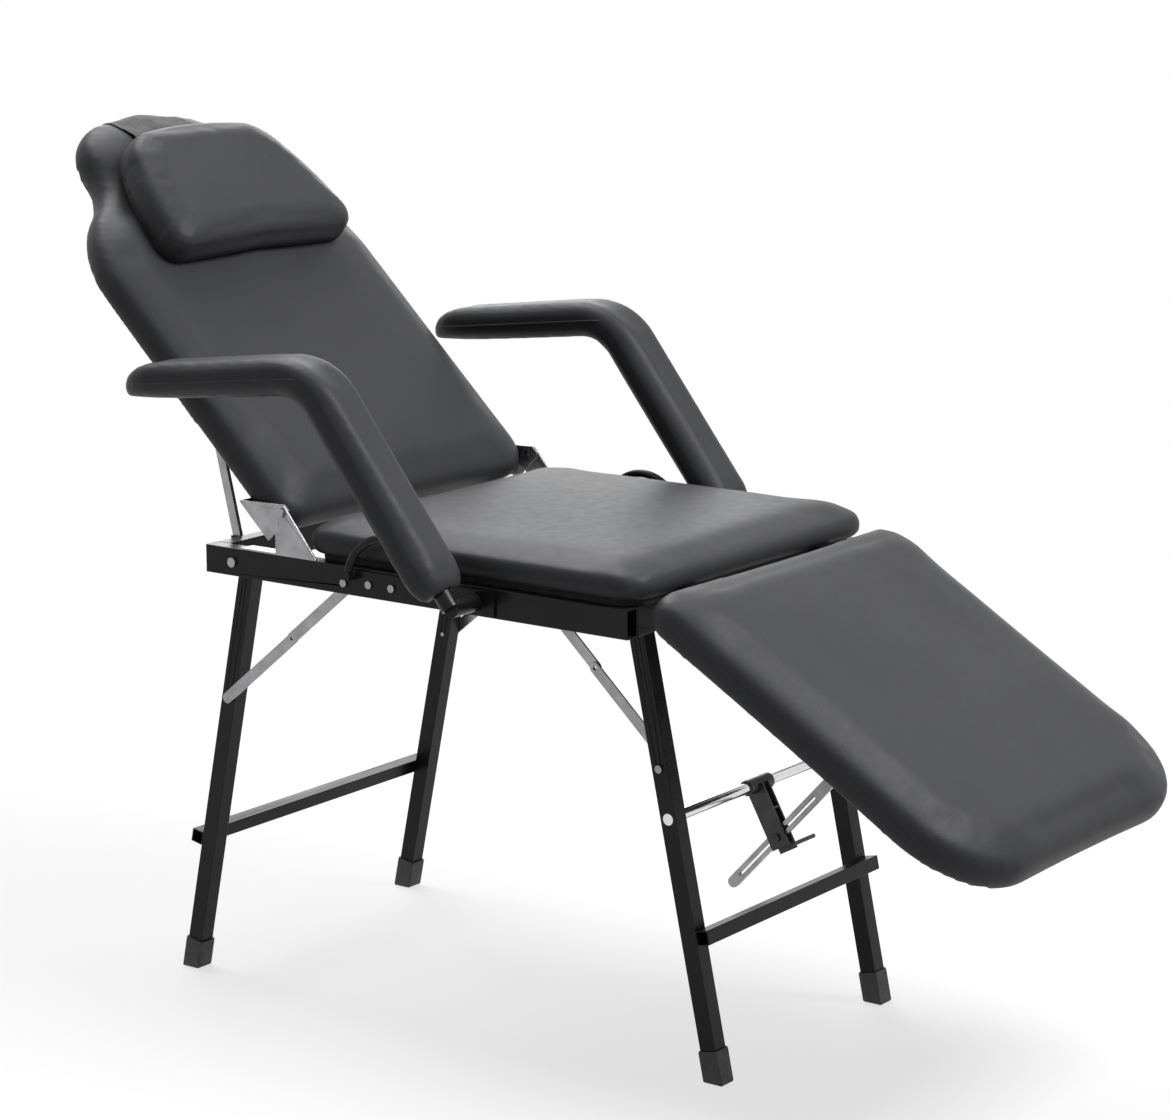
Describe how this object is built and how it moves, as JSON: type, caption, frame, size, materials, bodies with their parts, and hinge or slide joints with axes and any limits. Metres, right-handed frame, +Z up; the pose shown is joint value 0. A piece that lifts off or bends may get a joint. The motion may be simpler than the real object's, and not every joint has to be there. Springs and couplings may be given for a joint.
{
  "type": "facial treatment chair",
  "caption": "Folding facial treatment chair with a reclining back, tilting footrest, fixed padded armrests, strap-on head pillow and folding tube legs",
  "frame": {"origin": "on the floor, at the middle of the chair's footprint box", "axes": "+X to the sitter's left, +Y from the footrest to the head, +Z up"},
  "size_m": [0.78, 1.6939, 1.2383],
  "materials": {
    "black_paint": "gloss black enamel",
    "zinc_steel": "zinc plated",
    "chrome_bar": "polished",
    "black_vinyl": "black grained vinyl",
    "plywood": "board covered in black backing cloth",
    "elastic_strap": "woven elastic",
    "cap_plastic": "moulded"
  },
  "bodies": {
    "seat_frame": {"left_side_rail": "black_paint", "right_side_rail": "black_paint", "front_cross_rail": "black_paint", "rear_cross_rail": "black_paint", "seat_board": "plywood", "seat_cushion": "black_vinyl", "left_hinge_bracket": "zinc_steel", "right_hinge_bracket": "zinc_steel", "back_hinge_pins": "zinc_steel", "prop_lugs": "black_paint", "prop_pins": "zinc_steel", "footrest_fixed_leaves": "black_paint", "footrest_hinge_pins": "zinc_steel", "front_leg_lugs": "black_paint", "front_pivot_bolts": "zinc_steel", "rear_pivot_bolts": "zinc_steel", "rear_pivot_spacers": "black_paint", "stay_lugs": "black_paint", "stay_root_rivets": "zinc_steel", "left_armrest_pad": "black_vinyl", "right_armrest_pad": "black_vinyl", "left_armrest_tube": "black_paint", "right_armrest_tube": "black_paint", "armrest_plates": "black_paint", "armrest_braces": "black_paint", "armrest_bolts": "zinc_steel"},
    "backrest": {"backrest_board": "plywood", "backrest_cushion": "black_vinyl", "left_hinge_arm": "zinc_steel", "right_hinge_arm": "zinc_steel", "prop_racks": "zinc_steel"},
    "back_prop": {"left_prop_bar": "zinc_steel", "right_prop_bar": "zinc_steel", "prop_rod": "zinc_steel"},
    "head_pillow": {"pillow": "black_vinyl", "pillow_strap": "elastic_strap"},
    "footrest": {"footrest_board": "plywood", "footrest_cushion": "black_vinyl", "footrest_moving_leaves": "black_paint", "strut_lug": "black_paint", "strut_pin": "zinc_steel"},
    "strut": {"footrest_strut": "zinc_steel"},
    "front_legs": {"left_front_leg": "black_paint", "right_front_leg": "black_paint", "front_foot_caps": "cap_plastic", "front_crossbar": "black_paint", "lock_bar": "chrome_bar", "front_stay_bolts": "zinc_steel"},
    "rear_legs": {"left_rear_leg": "black_paint", "right_rear_leg": "black_paint", "rear_foot_caps": "cap_plastic", "rear_crossbar": "black_paint", "rear_stay_bolts": "zinc_steel"},
    "front_stay_uppers": {"front_stay_upper_links": "zinc_steel"},
    "front_stay_lowers": {"front_stay_lower_links": "zinc_steel"},
    "rear_stay_uppers": {"rear_stay_upper_links": "zinc_steel"},
    "rear_stay_lowers": {"rear_stay_lower_links": "zinc_steel"},
    "strut_lock": {"lock_bracket": "black_paint", "lock_bolt": "zinc_steel", "release_lever": "zinc_steel"}
  },
  "joints": [
    {"name": "backrest_recline", "type": "hinge", "parent": "seat_frame", "child": "backrest", "pos_m": [0, 0.28116, 0.713], "axis": [1, 0, 0], "range_deg": [-44, 0]},
    {"name": "back_prop_swing", "type": "hinge", "parent": "seat_frame", "child": "back_prop", "pos_m": [0, 0.43216, 0.64], "axis": [1, 0, 0], "range_deg": [-72.8, 0]},
    {"name": "pillow_slide", "type": "slide", "parent": "backrest", "child": "head_pillow", "axis": [0, 0.7193, 0.6947], "range_m": [0, 0.08]},
    {"name": "footrest_tilt", "type": "hinge", "parent": "seat_frame", "child": "footrest", "pos_m": [0, -0.32284, 0.652], "axis": [1, 0, 0], "range_deg": [-31, 14]},
    {"name": "strut_swing", "type": "hinge", "parent": "footrest", "child": "strut", "pos_m": [0, -0.53899, 0.48362], "axis": [1, 0, 0], "range_deg": [-10.7, 23.5]},
    {"name": "front_leg_fold", "type": "hinge", "parent": "seat_frame", "child": "front_legs", "pos_m": [0, -0.26484, 0.632], "axis": [1, 0, 0], "range_deg": [0, 102.1]},
    {"name": "front_stay_upper_swing", "type": "hinge", "parent": "seat_frame", "child": "front_stay_uppers", "pos_m": [0, -0.08784, 0.628], "axis": [1, 0, 0], "range_deg": [-36.8, 0]},
    {"name": "front_stay_lower_swing", "type": "hinge", "parent": "front_legs", "child": "front_stay_lowers", "pos_m": [0, -0.30969, 0.42275], "axis": [1, 0, 0], "range_deg": [0, 41.4]},
    {"name": "strut_lock_release", "type": "hinge", "parent": "front_legs", "child": "strut_lock", "pos_m": [0, -0.32416, 0.35529], "axis": [1, 0, 0], "range_deg": [-8, 0]},
    {"name": "rear_leg_fold", "type": "hinge", "parent": "seat_frame", "child": "rear_legs", "pos_m": [0, 0.37216, 0.632], "axis": [1, 0, 0], "range_deg": [-100.4, 0]},
    {"name": "rear_stay_upper_swing", "type": "hinge", "parent": "seat_frame", "child": "rear_stay_uppers", "pos_m": [0, 0.16816, 0.628], "axis": [1, 0, 0], "range_deg": [0, 38.5]},
    {"name": "rear_stay_lower_swing", "type": "hinge", "parent": "rear_legs", "child": "rear_stay_lowers", "pos_m": [0, 0.41446, 0.42222], "axis": [1, 0, 0], "range_deg": [-41.4, 0]}
  ],
  "couplings": [
    {"joint": "back_prop_swing", "follows": "backrest_recline", "ratio": 1.6518},
    {"joint": "strut_swing", "follows": "footrest_tilt", "ratio": -0.75194},
    {"joint": "front_stay_upper_swing", "follows": "front_leg_fold", "ratio": -0.3585},
    {"joint": "front_stay_lower_swing", "follows": "front_leg_fold", "ratio": 0.40448},
    {"joint": "rear_stay_upper_swing", "follows": "rear_leg_fold", "ratio": -0.38201},
    {"joint": "rear_stay_lower_swing", "follows": "rear_leg_fold", "ratio": 0.41082}
  ]
}
